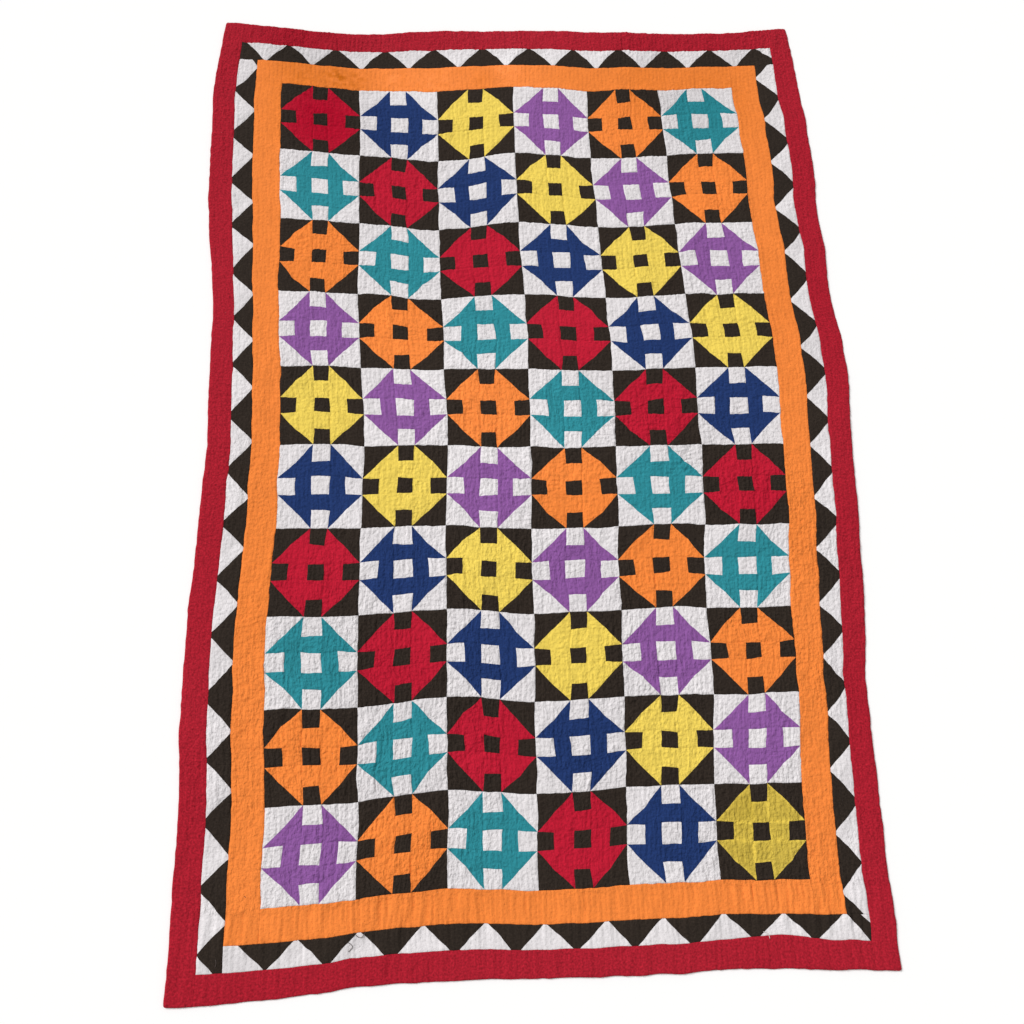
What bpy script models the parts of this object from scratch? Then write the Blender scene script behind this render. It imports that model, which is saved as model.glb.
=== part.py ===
"""A ralli quilt lying flat: pieced blocks inside an orange, a sawtooth and a red border, quilted lengthwise.

Metres, +Z up. The quilt's length runs along Y with its head end at +Y, and its underside lies flat on Z = 0.
Each strip of cloth is a slab of its own, and its top rises in a ridge between each two rows of stitches.
"""

from collections import namedtuple

import bmesh
import bpy
import numpy as np

# Square blocks in columns and rows, and the widths of the three borders round them.
BLOCK = 0.190
COLUMNS = 6
ROWS = 10
ORANGE = 0.34 * BLOCK
SAWTOOTH = 0.25 * BLOCK
RED = 0.285 * BLOCK

# The seams between the strips, as distances outwards from the field of blocks.
ORANGE_SEAM = ORANGE
SAWTOOTH_SEAM = ORANGE + SAWTOOTH
EDGE = ORANGE + SAWTOOTH + RED
FIELD_WIDTH = COLUMNS * BLOCK
FIELD_LENGTH = ROWS * BLOCK

# Rows of stitches run the whole length. This many ridges lie side by side in a block and in each border.
RIDGES_IN_BLOCK = 18
RIDGES_IN_ORANGE = 6
RIDGES_IN_SAWTOOTH = 4
RIDGES_IN_RED = 5

# The cloth with its filling is thin along a row of stitches and thick midway between two rows.
THICK_AT_STITCHES = 0.0032
THICK_ON_RIDGE = 0.0044
RIDGE_UNEVENNESS = 0.0003

# Touching pieces stay this far apart.
SEAM_GAP = 0.0003

# How far the quilt lies out of true, in millimetres. A sway is to the right, in a row for each line across
# the quilt, counted in blocks from the field's head. A dip is towards the foot, in a row for each line along
# the quilt, counted in blocks from the field's left side.
Sway = namedtuple("Sway", "line left_edge field_left middle field_right right_edge")
SWAYS = (
    Sway(-0.9, 8, -8, -10, -33, -46),
    Sway(0, -13, -13, -9, -28, -26),
    Sway(1, -13, -11, -10, -17, -13),
    Sway(2, -8, -7, -7, -8, -9),
    Sway(3, 10, -5, 3, 5, -3),
    Sway(4, 12, 5, 7, 17, 16),
    Sway(5, 14, 11, 7, 12, 6),
    Sway(6, 5, 8, 3, 9, 3),
    Sway(7, -6, 0, 2, -2, -6),
    Sway(8, -9, 0, -2, -6, -24),
    Sway(9, -4, 6, -4, -18, -23),
    Sway(10, -5, 4, -4, -16, -18),
    Sway(10.9, -12, 1, -4, -12, -14),
)
Dip = namedtuple("Dip", "line head_edge field_head middle field_foot foot_edge")
DIPS = (
    Dip(-0.9, -25, -14, -8, 27, 40),
    Dip(0, -9, -12, -8, 25, 33),
    Dip(1, 9, 8, -6, 14, 14),
    Dip(2, -1, 14, -2, -2, 6),
    Dip(3, -2, -1, 4, 5, 4),
    Dip(4, -1, 9, 4, 0, 6),
    Dip(5, 5, 6, 1, -2, 1),
    Dip(6, 4, 2, 3, -2, 4),
    Dip(6.9, -10, -2, 3, 2, 10),
)
SWAY_PLACES = (-EDGE, 0.0, FIELD_WIDTH / 2, FIELD_WIDTH, FIELD_WIDTH + EDGE)
DIP_PLACES = (-EDGE, 0.0, FIELD_LENGTH / 2, FIELD_LENGTH, FIELD_LENGTH + EDGE)

# The cloths' colours, as sRGB hex values, with one for each block in turn along a row.
BLOCK_COLOURS = {
    "crimson": "C21F3A",
    "navy": "1F3D7A",
    "yellow": "E8D45A",
    "purple": "8F4FA6",
    "orange": "F0863A",
    "teal": "2A8E92",
}
BORDER_COLOURS = {"orange": "F0863A", "sawtooth": "2E2822", "red": "A81E2E"}
CLOTH_ROUGHNESS = 0.9


def out_of_true(table, places, line, place):
    """The distance that one table gives at a line, counted in metres, and at a place along that line."""
    lines = [row.line * BLOCK for row in table]
    columns = np.array([row[1:] for row in table]).T
    on_line = [np.interp(line, lines, column) for column in columns]
    return np.interp(place, places, on_line) / 1000


def lay(across, along):
    """Where a point of the pattern lies: across from the field's left side, along from its head."""
    x = across - FIELD_WIDTH / 2 + out_of_true(SWAYS, SWAY_PLACES, along, across)
    y = FIELD_LENGTH / 2 - along - out_of_true(DIPS, DIP_PLACES, across, along)
    return x, y


def lines_along():
    """The distances from the field's head of every block's seam and border's seam, from head to foot."""
    blocks = [row * BLOCK for row in range(ROWS + 1)]
    head = [-EDGE, -SAWTOOTH_SEAM, -ORANGE_SEAM]
    foot = [FIELD_LENGTH - distance for distance in reversed(head)]
    return head + blocks + foot


def strips_across():
    """Each strip from left to right, as its two sides and its number of ridges."""
    borders = [
        (-EDGE, -SAWTOOTH_SEAM, RIDGES_IN_RED),
        (-SAWTOOTH_SEAM, -ORANGE_SEAM, RIDGES_IN_SAWTOOTH),
        (-ORANGE_SEAM, 0.0, RIDGES_IN_ORANGE),
    ]
    blocks = [(column * BLOCK, (column + 1) * BLOCK, RIDGES_IN_BLOCK) for column in range(COLUMNS)]
    mirrored = [(FIELD_WIDTH - b, FIELD_WIDTH - a, ridges) for a, b, ridges in reversed(borders)]
    return borders + blocks + mirrored


def folds_across():
    """The valley and ridge lines from left to right: valleys have even numbers and ridges odd ones."""
    lines = [-EDGE]
    for left, right, ridges in strips_across():
        lines.extend(np.linspace(left, right, 2 * ridges + 1)[1:])
    return lines


def middle_of_outline():
    """The middle of the box round the quilt as it lies."""
    sides = (-EDGE, FIELD_WIDTH + EDGE)
    ends = (-EDGE, FIELD_LENGTH + EDGE)
    outline = [lay(side, along) for side in sides for along in lines_along()]
    outline += [lay(across, end) for end in ends for across in folds_across()]
    lowest, highest = np.min(outline, axis=0), np.max(outline, axis=0)
    return (lowest + highest) / 2


def within(lines, start, end):
    """The lines from start to end, as (number, place) pairs, with the two outer ones drawn in by half a gap."""
    tiny = SEAM_GAP / 10
    kept = [[number, line] for number, line in enumerate(lines) if start - tiny < line < end + tiny]
    kept[0][1] += SEAM_GAP / 2
    kept[-1][1] -= SEAM_GAP / 2
    return kept


def thickness(fold, line):
    """The height of the top at a numbered fold across and a numbered line along."""
    if fold % 2 == 0:
        return THICK_AT_STITCHES
    return THICK_ON_RIDGE + RIDGE_UNEVENNESS * np.sin(2.1 * fold + 1.7 * line)


def linear(hex_colour):
    """An sRGB hex colour as linear red, green, blue and alpha."""
    channels = [int(hex_colour[place : place + 2], 16) / 255 for place in (0, 2, 4)]
    return [c / 12.92 if c <= 0.04045 else ((c + 0.055) / 1.055) ** 2.4 for c in channels] + [1.0]


def cloth(name, hex_colour):
    """A matt cotton of one colour."""
    material = bpy.data.materials.new(name)
    material.use_nodes = True
    shader = material.node_tree.nodes["Principled BSDF"]
    shader.inputs["Base Color"].default_value = linear(hex_colour)
    shader.inputs["Roughness"].default_value = CLOTH_ROUGHNESS
    shader.inputs["Metallic"].default_value = 0.0
    material.diffuse_color = linear(hex_colour)
    return material


def panel(name, sides, ends, middle, collection):
    """A slab of quilted cloth between two sides and two ends of the pattern, flat underneath."""
    folds = within(folds_across(), *sides)
    lines = within(lines_along(), *ends)
    steps_across, steps_along = len(folds) - 1, len(lines) - 1
    mesh = bmesh.new()
    bmesh.ops.create_grid(mesh, x_segments=steps_across, y_segments=steps_along, size=0.5)
    for vertex in mesh.verts:
        fold, across = folds[round((vertex.co.x + 0.5) * steps_across)]
        line, along = lines[round((0.5 - vertex.co.y) * steps_along)]
        x, y = np.subtract(lay(across, along), middle)
        vertex.co = (x, y, thickness(fold, line))
    made = bmesh.ops.extrude_face_region(mesh, geom=mesh.faces[:])
    for vertex in made["geom"]:
        if isinstance(vertex, bmesh.types.BMVert):
            vertex.co.z = 0.0
    bmesh.ops.recalc_face_normals(mesh, faces=mesh.faces[:])
    data = bpy.data.meshes.new(name)
    mesh.to_mesh(data)
    mesh.free()
    piece = bpy.data.objects.new(name, data)
    collection.objects.link(piece)
    return piece


def patchwork_field(middle, collection):
    """The blocks, sewn together before the borders go on, each in its own colour."""
    field = panel("patchwork_field", (0.0, FIELD_WIDTH), (0.0, FIELD_LENGTH), middle, collection)
    for name, hex_colour in BLOCK_COLOURS.items():
        field.data.materials.append(cloth(f"{name} cotton block", hex_colour))
    for face in field.data.polygons:
        column = int((face.center.x + middle[0] + FIELD_WIDTH / 2) / BLOCK)
        row = int((FIELD_LENGTH / 2 - middle[1] - face.center.y) / BLOCK)
        face.material_index = (column - row) % len(BLOCK_COLOURS)
    return field


def border(name, across, along, middle, collection):
    """The four strips of one border. across and along give each strip's sides and ends, by its place."""
    finish = cloth(f"{name} cotton border", BORDER_COLOURS[name])
    for place in ("left", "right", "head", "foot"):
        strip = panel(f"{name}_{place}", across[place], along[place], middle, collection)
        strip.data.materials.append(finish)


def main():
    for thing in list(bpy.data.objects):
        bpy.data.objects.remove(thing)
    quilt = bpy.data.collections.new("ralli quilt")
    bpy.context.scene.collection.children.link(quilt)
    middle = middle_of_outline()
    patchwork_field(middle, quilt)

    # The orange and the red side strips run the whole length, with the head and foot strips between them.
    for name, inner, outer in (("orange", 0.0, ORANGE_SEAM), ("red", SAWTOOTH_SEAM, EDGE)):
        side_left, side_right = (-outer, -inner), (FIELD_WIDTH + inner, FIELD_WIDTH + outer)
        between = (-inner, FIELD_WIDTH + inner)
        full_length = (-outer, FIELD_LENGTH + outer)
        head, foot = (-outer, -inner), (FIELD_LENGTH + inner, FIELD_LENGTH + outer)
        across = {"left": side_left, "right": side_right, "head": between, "foot": between}
        along = {"left": full_length, "right": full_length, "head": head, "foot": foot}
        border(name, across, along, middle, quilt)

    # The sawtooth's head strip takes both head corners, its left strip one foot corner and its foot strip the other.
    inner, outer = ORANGE_SEAM, SAWTOOTH_SEAM
    across = {
        "left": (-outer, -inner),
        "right": (FIELD_WIDTH + inner, FIELD_WIDTH + outer),
        "head": (-outer, FIELD_WIDTH + outer),
        "foot": (-inner, FIELD_WIDTH + outer),
    }
    along = {
        "left": (-inner, FIELD_LENGTH + outer),
        "right": (-inner, FIELD_LENGTH + inner),
        "head": (-outer, -inner),
        "foot": (FIELD_LENGTH + inner, FIELD_LENGTH + outer),
    }
    border("sawtooth", across, along, middle, quilt)


main()
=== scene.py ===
"""The looks of a ralli quilt: pieced blocks inside an orange, a sawtooth and a red border.

Metres, +Z up, with the quilt's head end at +Y. Every piece of cloth is first cut and sewn on the plan, where
a point is so far across from the left side of the field of blocks and so far along from its head. The
function lay puts the plan down out of true, as the quilt lies, and height_of_top raises its quilting.
"""

import math
from collections import namedtuple

import bmesh
import bpy
import numpy as np
from bpy.props import FloatProperty, FloatVectorProperty, PointerProperty
from mathutils import Matrix, Vector


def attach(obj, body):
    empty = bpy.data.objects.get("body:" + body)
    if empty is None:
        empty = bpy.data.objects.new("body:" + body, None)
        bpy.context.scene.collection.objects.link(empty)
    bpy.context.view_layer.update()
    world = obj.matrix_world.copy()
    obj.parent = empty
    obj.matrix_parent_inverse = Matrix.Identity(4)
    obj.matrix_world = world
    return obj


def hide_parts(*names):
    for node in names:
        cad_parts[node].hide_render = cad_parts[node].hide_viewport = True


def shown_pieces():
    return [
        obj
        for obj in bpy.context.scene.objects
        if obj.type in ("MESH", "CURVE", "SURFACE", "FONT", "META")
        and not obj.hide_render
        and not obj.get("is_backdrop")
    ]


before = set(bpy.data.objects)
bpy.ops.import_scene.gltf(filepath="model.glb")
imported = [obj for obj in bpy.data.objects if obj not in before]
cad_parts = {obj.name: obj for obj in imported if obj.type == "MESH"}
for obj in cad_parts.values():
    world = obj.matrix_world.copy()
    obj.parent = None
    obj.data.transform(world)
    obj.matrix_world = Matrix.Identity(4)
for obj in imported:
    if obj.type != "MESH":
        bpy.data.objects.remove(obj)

bl_info = {
    "name": "Ralli Quilt",
    "version": (1, 0, 0),
    "blender": (4, 5, 0),
    "location": "View3D > Sidebar > Quilt",
    "description": "Sews a hand-pieced ralli quilt with three borders, and lays it flat",
    "category": "Add Mesh",
}

# Square blocks in columns and rows, and the widths of the three borders round them, as in the frame.
BLOCK = 0.190
COLUMNS = 6
ROWS = 10
ORANGE = 0.34 * BLOCK
SAWTOOTH = 0.25 * BLOCK
RED = 0.285 * BLOCK

# The seams between the borders, as distances outwards from the field of blocks.
ORANGE_SEAM = ORANGE
SAWTOOTH_SEAM = ORANGE + SAWTOOTH
EDGE = ORANGE + SAWTOOTH + RED
FIELD_WIDTH = COLUMNS * BLOCK
FIELD_LENGTH = ROWS * BLOCK

# A block is pieced from squares of a fifth of its side, with a triangle pair of two fifths at each corner.
PATCHES_IN_BLOCK = 5
PATCH = BLOCK / PATCHES_IN_BLOCK
CORNER = 0.4
INNER_SEAM = 0.5 - CORNER
SIDE_SEAM = 0.3

# Each row of blocks starts one cloth further on in this list.
BLOCK_CLOTHS = ("crimson", "navy", "yellow", "purple", "tangerine", "teal")

# Rows of running stitches go the whole length. This many ridges lie side by side in each strip across.
Strip = namedtuple("Strip", "width ridges")
STRIPS_ACROSS = (
    Strip(RED, 5),
    Strip(SAWTOOTH, 4),
    Strip(ORANGE, 6),
    Strip(FIELD_WIDTH, 18 * COLUMNS),
    Strip(ORANGE, 6),
    Strip(SAWTOOTH, 4),
    Strip(RED, 5),
)
THICK_AT_STITCHES = 0.0032
THICK_ON_RIDGE = 0.0044

# Crumples that would go past these heights are eased off, so that the cloth stays above the floor.
THINNEST = 0.0016
THICKEST = 0.0075

# How far the quilt lies out of true, in millimetres. A sway is to the right, in a row for each line across
# the quilt, counted in blocks from the field's head. A dip is towards the foot, in a row for each line along
# the quilt, counted in blocks from the field's left side.
Sway = namedtuple("Sway", "line left_edge field_left middle field_right right_edge")
SWAYS = (
    Sway(-0.9, 8, -8, -10, -33, -46),
    Sway(0, -13, -13, -9, -28, -26),
    Sway(1, -13, -11, -10, -17, -13),
    Sway(2, -8, -7, -7, -8, -9),
    Sway(3, 10, -5, 3, 5, -3),
    Sway(4, 12, 5, 7, 17, 16),
    Sway(5, 14, 11, 7, 12, 6),
    Sway(6, 5, 8, 3, 9, 3),
    Sway(7, -6, 0, 2, -2, -6),
    Sway(8, -9, 0, -2, -6, -24),
    Sway(9, -4, 6, -4, -18, -23),
    Sway(10, -5, 4, -4, -16, -18),
    Sway(10.9, -12, 1, -4, -12, -14),
)
Dip = namedtuple("Dip", "line head_edge field_head middle field_foot foot_edge")
DIPS = (
    Dip(-0.9, -25, -14, -8, 27, 40),
    Dip(0, -9, -12, -8, 25, 33),
    Dip(1, 9, 8, -6, 14, 14),
    Dip(2, -1, 14, -2, -2, 6),
    Dip(3, -2, -1, 4, 5, 4),
    Dip(4, -1, 9, 4, 0, 6),
    Dip(5, 5, 6, 1, -2, 1),
    Dip(6, 4, 2, 3, -2, 4),
    Dip(6.9, -10, -2, 3, 2, 10),
)
SWAY_PLACES = (-EDGE, 0.0, FIELD_WIDTH / 2, FIELD_WIDTH, FIELD_WIDTH + EDGE)
DIP_PLACES = (-EDGE, 0.0, FIELD_LENGTH / 2, FIELD_LENGTH, FIELD_LENGTH + EDGE)

# How strongly the ridges and the ripples across them show in the field, in a row for each line across,
# counted as above, and what share of that the orange and the red border show.
Relief = namedtuple("Relief", "line lengthwise crosswise orange red")
RELIEFS = (
    Relief(-0.9, 0.7, 0.7, 0.35, 1.3),
    Relief(0, 0.7, 0.7, 0.30, 1.0),
    Relief(1.5, 0.8, 0.8, 0.35, 0.6),
    Relief(3, 0.8, 0.9, 0.45, 0.5),
    Relief(5, 1.0, 1.1, 0.75, 0.6),
    Relief(6.5, 1.2, 0.9, 0.9, 0.6),
    Relief(8, 1.2, 0.8, 0.8, 0.6),
    Relief(10, 1.3, 0.6, 0.85, 0.6),
    Relief(10.06, 1.3, 0.6, 1.4, 0.6),
    Relief(10.9, 1.0, 0.5, 1.4, 0.6),
)

# White teeth in each side's strip: where the first and last ones stand, in blocks, and how far their sides
# swell out, in metres. The first one on the left was sewn with its sides well rounded.
Teeth = namedtuple("Teeth", "count first last swell first_swell")
TEETH = {
    "left": Teeth(17, -0.21, 10.12, 0.0, 0.007),
    "right": Teeth(17, -0.155, 10.20, -0.002, 0.0),
    "head": Teeth(11, -0.27, 6.05, -0.003, -0.003),
    "foot": Teeth(11, -0.22, 6.30, 0.001, 0.001),
}

# A few teeth stand so many metres off their places.
StrayTooth = namedtuple("StrayTooth", "side tooth shift")
STRAY_TEETH = (
    StrayTooth("foot", 1, -0.008),
    StrayTooth("foot", 2, -0.014),
    StrayTooth("foot", 3, -0.004),
    StrayTooth("head", 0, 0.006),
    StrayTooth("head", 1, 0.006),
    StrayTooth("right", 15, -0.007),
    StrayTooth("right", 16, -0.014),
)

TOOTH_BASE = 0.56 * BLOCK
TOOTH_TIP = 0.04 * BLOCK

# Where a seam was pulled out of line: the place and how far the pull reaches each way, in blocks, with the
# pull towards the foot in millimetres.
Pull = namedtuple("Pull", "across along width length towards_foot")
PULLS = (Pull(5.60, 10.60, 0.40, 0.13, -9),)

# Small creases pressed into the borders, each between two places counted in blocks.
Crease = namedtuple("Crease", "across along to_across to_along depth width")
CREASES = (
    Crease(1.38, 10.60, 1.33, 10.77, 0.0018, 0.004),
    Crease(1.70, 10.70, 1.60, 10.79, 0.0016, 0.004),
    Crease(3.98, 10.60, 3.82, 10.69, 0.0016, 0.004),
    Crease(-0.33, 6.51, -0.22, 6.63, 0.0018, 0.004),
)

# Places where the cloth has faded, or is darker where the amount is below nought. They are counted in
# blocks, reach so many metres and are more or less blotchy.
Worn = namedtuple("Worn", "across along reach amount mottling")
WORN_PLACES = (
    Worn(1.35, -0.72, 0.018, 0.4, 1.8),
    Worn(0.20, -0.20, 0.060, -1.1, 0.4),
    Worn(0.70, -0.20, 0.022, -1.4, 1.6),
    Worn(0.86, -0.12, 0.026, -0.9, 1.8),
    Worn(1.02, -0.20, 0.024, -0.7, 1.8),
    Worn(1.40, -0.18, 0.048, 0.9, 0.8),
    Worn(1.95, -0.18, 0.060, 0.9, 0.8),
    Worn(2.62, -0.12, 0.032, -0.9, 0.8),
    Worn(2.92, -0.27, 0.032, 1.1, 0.8),
    Worn(3.80, -0.20, 0.090, -0.8, 0.3),
    Worn(4.80, -0.20, 0.110, -1.0, 0.3),
    Worn(5.90, -0.20, 0.110, -0.9, 0.3),
    Worn(0.20, -0.75, 0.110, -1.1, 0.6),
    Worn(3.20, -0.75, 0.200, 0.8, 0.6),
    Worn(0.50, 0.50, 0.110, -2.0, 0.2),
    Worn(5.50, 0.45, 0.110, -1.2, 0.2),
    Worn(2.20, 4.30, 0.330, 0.8, 0.2),
    Worn(5.35, 9.25, 0.030, -0.8, 1.0),
    Worn(5.80, 9.75, 0.035, 0.8, 1.0),
)

# Ends of thread and lint that lie on the quilt, each bent over one place between its ends, in blocks.
Loose = namedtuple("Loose", "across along over_across over_along to_across to_along")
PALE_THREADS = (Loose(5.41, 10.54, 5.48, 10.55, 5.48, 10.62),)
GREY_THREADS = (
    Loose(0.99, 10.34, 1.06, 10.44, 1.11, 10.34),
    Loose(0.92, 10.42, 1.01, 10.47, 0.93, 10.52),
    Loose(-0.165, 9.865, -0.16, 9.87, -0.155, 9.88),
    Loose(-0.41, 10.46, -0.39, 10.49, -0.41, 10.53),
)

# Waves in the seams and the outline: how far they stray, the length of a straight stretch, how soon they
# turn, and the seed of their noise.
Wave = namedtuple("Wave", "stray straight turn seed")
WAVES = (Wave(0.0024, 0.25, 0.11, 25), Wave(0.0020, 0.30, 0.045, 21), Wave(0.0008, 0.020, 0.013, 23))

# Each row of stitches starts this share of a stitch further on, so that no two rows near each other line up.
GOLDEN = (math.sqrt(5) - 1) / 2

# Mesh cells are about this long, with narrow ones beside each seam and narrower ones along the folded edge.
CELL = 0.0035
SEAM_CELL = 0.0013
CELLS_IN_PATCH = 12
HEM_CELLS = (0.0004, 0.0012, 0.0025, 0.0042)
HEM_RADIUS = 0.0045
SMALLEST_HEM = 0.3


def linear(hex_colour):
    """An sRGB hex colour as linear red, green and blue."""
    channels = [int(hex_colour[place : place + 2], 16) / 255 for place in (0, 2, 4)]
    return [c / 12.92 if c <= 0.04045 else ((c + 0.055) / 1.055) ** 2.4 for c in channels]


def colour_property(name, hex_colour):
    """A colour that a user can change."""
    return FloatVectorProperty(name=name, description=f"Colour of the {name.lower()}", subtype="COLOR",
                               default=linear(hex_colour), min=0.0, max=1.0)


def length_property(name, description, default):
    """A small length that a user can change."""
    return FloatProperty(name=name, description=description, default=default, min=0.0, max=0.1,
                         unit="LENGTH", precision=5)


class ClothColours(bpy.types.PropertyGroup):
    """The dyed cottons."""

    crimson: colour_property("Crimson patches", "B91931")
    navy: colour_property("Navy patches", "203668")
    yellow: colour_property("Yellow patches", "EACD5A")
    mustard: colour_property("Mustard patches", "C4AA44")
    purple: colour_property("Purple patches", "8A5799")
    tangerine: colour_property("Tangerine patches", "F1853B")
    teal: colour_property("Teal patches", "2D8792")
    black: colour_property("Black ground", "2E2620")
    white: colour_property("White ground", "DED9DA")
    orange_border: colour_property("Orange border", "EF843B")
    red_border: colour_property("Red border", "A61C2C")
    back: colour_property("Back cloth", "A22A33")
    pale_thread: colour_property("Pale loose thread", "D8D2CC")
    grey_thread: colour_property("Grey loose thread", "5A504C")


class QuiltingSizes(bpy.types.PropertyGroup):
    """The sizes of the sewing."""

    patch_skew: length_property("Patch skew", "How far a patch's corner strays", 0.0011)
    seam_depth: length_property("Seam depth", "How deep the cloth draws in at a seam", 0.0005)
    ripple_height: length_property("Ripple height", "Half the height of the ripples across", 0.0004)
    pucker_height: length_property("Pucker height", "The height of the puckers of every slant", 0.0015)
    dimple_depth: length_property("Dimple depth", "How deep a stitch pulls the cloth in", 0.0005)
    crinkle_height: length_property("Crinkle height", "Half the height of the small crinkles", 0.0006)
    swell_height: length_property("Swell height", "Half the height of the broad swells", 0.0008)
    stitch_pitch: length_property("Stitch pitch", "From one stitch to the next in its row", 0.0100)
    stitch_length: length_property("Stitch length", "How much of a stitch's thread shows", 0.0052)
    thread_thickness: length_property("Thread thickness", "The thickness of the quilting thread", 0.0007)
    loose_thickness: length_property("Loose thread thickness", "The thickness of a loose thread", 0.0011)


class StudioSettings(bpy.types.PropertyGroup):
    """The camera and the lights."""

    lens: FloatProperty(name="Lens", description="Focal length for a 36 mm sensor", default=39.8,
                        unit="CAMERA")
    distance: FloatProperty(name="Camera distance", description="From the camera to the middle of its view",
                            default=2.5214, unit="LENGTH")
    tilt: FloatProperty(name="Camera tilt", description="How far the camera leans from straight down",
                        default=math.radians(16.427), unit="ROTATION")
    turn: FloatProperty(name="Camera turn", description="How far the camera stands off the quilt's length",
                        default=math.radians(-7.935), unit="ROTATION")
    roll: FloatProperty(name="Camera roll", description="How far the camera turns about its own view",
                        default=math.radians(6.807), unit="ROTATION")
    sky_light: FloatProperty(name="Sky light", description="Strength of the even light from all round",
                             default=0.53, min=0.0)
    window_light: FloatProperty(name="Window light", description="Strength of the soft light from one side",
                                default=2.6, min=0.0)


def noise(x, y, seed):
    """Smooth random values from -1 to 1 over the plane, with a new one at every whole number."""
    cells = 331
    values = np.random.default_rng(seed).uniform(-1, 1, (cells, cells))
    column, row = np.floor(x).astype(int), np.floor(y).astype(int)
    right, down = x - column, y - row
    right, down = right * right * (3 - 2 * right), down * down * (3 - 2 * down)
    near, far = row % cells, (row + 1) % cells
    left, beyond = column % cells, (column + 1) % cells
    upper = values[near, left] * (1 - right) + values[near, beyond] * right
    lower = values[far, left] * (1 - right) + values[far, beyond] * right
    return upper * (1 - down) + lower * down


def puckers(across, along, width, length, slant, seed):
    """Rounded puckers with sharp hollows between them, from 0 to 1, about so wide and so long."""
    x = (across * math.cos(slant) + along * math.sin(slant)) / width
    y = (along * math.cos(slant) - across * math.sin(slant)) / length
    x = x + 0.6 * noise(0.6 * x, 0.6 * y, seed)
    y = y + 0.6 * noise(0.6 * x, 0.6 * y, seed + 1)
    return np.sqrt(np.abs(noise(x, y, seed + 2)))


def shares(places, knots):
    """How much each knot counts at each place on a smooth curve that passes through every knot's value."""
    knots = np.asarray(knots, float)
    values = np.eye(len(knots))
    slopes = np.gradient(values, knots, axis=0)
    cell = np.clip(np.searchsorted(knots, places) - 1, 0, len(knots) - 2)
    width = (knots[cell + 1] - knots[cell])[:, None]
    t = (places - knots[cell])[:, None] / width
    start = (1 + 2 * t) * (1 - t) ** 2 * values[cell] + t * (1 - t) ** 2 * width * slopes[cell]
    end = t**2 * (3 - 2 * t) * values[cell + 1] + t**2 * (t - 1) * width * slopes[cell + 1]
    return start + end


def out_of_true(table, places, line, place):
    """The distance that one table gives at each line and at each place along that line."""
    lines = [row.line * BLOCK for row in table]
    millimetres = np.array([row[1:] for row in table])
    return np.einsum("ni,ij,nj->n", shares(line, lines), millimetres, shares(place, places)) / 1000


def middle_of_outline():
    """The middle of the box round the quilt, where the frame has its origin."""
    left, right = min(row.left_edge for row in SWAYS), max(row.right_edge for row in SWAYS)
    head, foot = min(row.head_edge for row in DIPS), max(row.foot_edge for row in DIPS)
    return (left + right) / 2000, -(head + foot) / 2000


def ground_patch_shifts(shape):
    """How far a patch's corners are drawn in: the black ones came out small, the white ones large."""
    black, white = 0.0016, -0.0012
    row, column = np.indices(shape[1:])
    inwards = np.array((0, -1, 1, -1, 1))
    sideways, lengthways = inwards[column % PATCHES_IN_BLOCK], inwards[row % PATCHES_IN_BLOCK]
    on_black = (row // PATCHES_IN_BLOCK + column // PATCHES_IN_BLOCK) % 2 == 0
    inside = (row % PATCHES_IN_BLOCK > 0) & (column % PATCHES_IN_BLOCK > 0)
    return np.where(on_black, black, white) * inside * np.stack((sideways, lengthways))


def pieced(across, along, skew):
    """Where points of the plan are sewn: the patches' corners a little off, the borders' in place."""
    near_block_seam = 0.35
    shape = (2, ROWS * PATCHES_IN_BLOCK + 1, COLUMNS * PATCHES_IN_BLOCK + 1)
    stray = np.random.default_rng(11).normal(0, skew, shape).clip(-2 * skew, 2 * skew)
    stray += ground_patch_shifts(shape)
    stray[:, ::PATCHES_IN_BLOCK, :] *= near_block_seam
    stray[:, :, ::PATCHES_IN_BLOCK] *= near_block_seam
    stray[:, (0, -1), :] = 0
    stray[:, :, (0, -1)] = 0
    column = np.clip((across / PATCH).astype(int), 0, shape[2] - 2)
    row = np.clip((along / PATCH).astype(int), 0, shape[1] - 2)
    right = np.clip(across / PATCH - column, 0, 1)
    down = np.clip(along / PATCH - row, 0, 1)
    upper = stray[:, row, column] * (1 - right) + stray[:, row, column + 1] * right
    lower = stray[:, row + 1, column] * (1 - right) + stray[:, row + 1, column + 1] * right
    shift = upper * (1 - down) + lower * down
    return across + shift[0], along + shift[1]


def rounded_corners(across, along):
    """The same points, with those near the quilt's four corners drawn in so that the corners are round."""
    radius = 0.006
    sideways, lengthways = FIELD_WIDTH / 2 + EDGE - radius, FIELD_LENGTH / 2 + EDGE - radius
    from_centre = across - FIELD_WIDTH / 2, along - FIELD_LENGTH / 2
    u = np.clip((np.abs(from_centre[0]) - sideways) / radius, 0, 1)
    v = np.clip((np.abs(from_centre[1]) - lengthways) / radius, 0, 1)
    inwards = radius * u * (1 - np.sqrt(1 - v**2 / 2)), radius * v * (1 - np.sqrt(1 - u**2 / 2))
    return across - np.sign(from_centre[0]) * inwards[0], along - np.sign(from_centre[1]) * inwards[1]


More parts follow.
